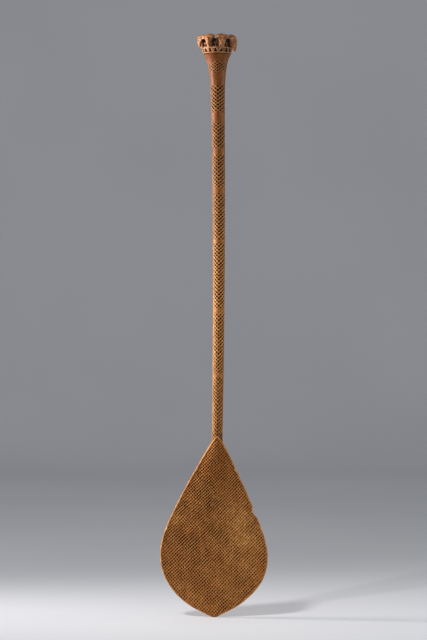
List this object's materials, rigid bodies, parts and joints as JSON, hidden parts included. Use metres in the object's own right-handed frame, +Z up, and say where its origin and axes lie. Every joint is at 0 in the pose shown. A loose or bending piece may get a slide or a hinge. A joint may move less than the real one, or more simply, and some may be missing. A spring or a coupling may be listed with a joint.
{
  "type": "ceremonial paddle",
  "caption": "Carved wooden ceremonial paddle: broad leaf-shaped blade with an all-over notched field, long round shaft, flared neck and a pierced crown of figures.",
  "frame": {"origin": "middle of the small worn foot at the blade's tip, at the bottom centre of the object's box", "axes": "+Z up along the shaft, +X to the viewer's right, the carved front faces -Y"},
  "size_m": [0.2177, 0.0822, 1.1767],
  "materials": {
    "blade_wood": "carved hardwood, brown, dark in the notches, soft sheen",
    "border_wood": "smooth hand-worn hardwood",
    "shaft_wood": "carved and handled hardwood, warm orange-brown, satin",
    "crown_wood": "carved hardwood with dark recesses",
    "figure_wood": "rounded hardwood carving with rubbed high spots"
  },
  "bodies": {
    "root": {"blade_panel": "blade_wood", "blade_border": "border_wood", "shaft_root": "border_wood", "shaft": "shaft_wood", "neck": "shaft_wood", "gallery_base_moulding": "crown_wood", "pierced_gallery": "crown_wood", "waist_moulding": "crown_wood", "pierced_crown_wall": "crown_wood", "brow_webs": "figure_wood", "figure_1": "figure_wood", "figure_2": "figure_wood", "figure_3": "figure_wood", "figure_4": "figure_wood", "figure_5": "figure_wood", "figure_6": "figure_wood", "figure_7": "figure_wood", "figure_8": "figure_wood"}
  },
  "joints": []
}
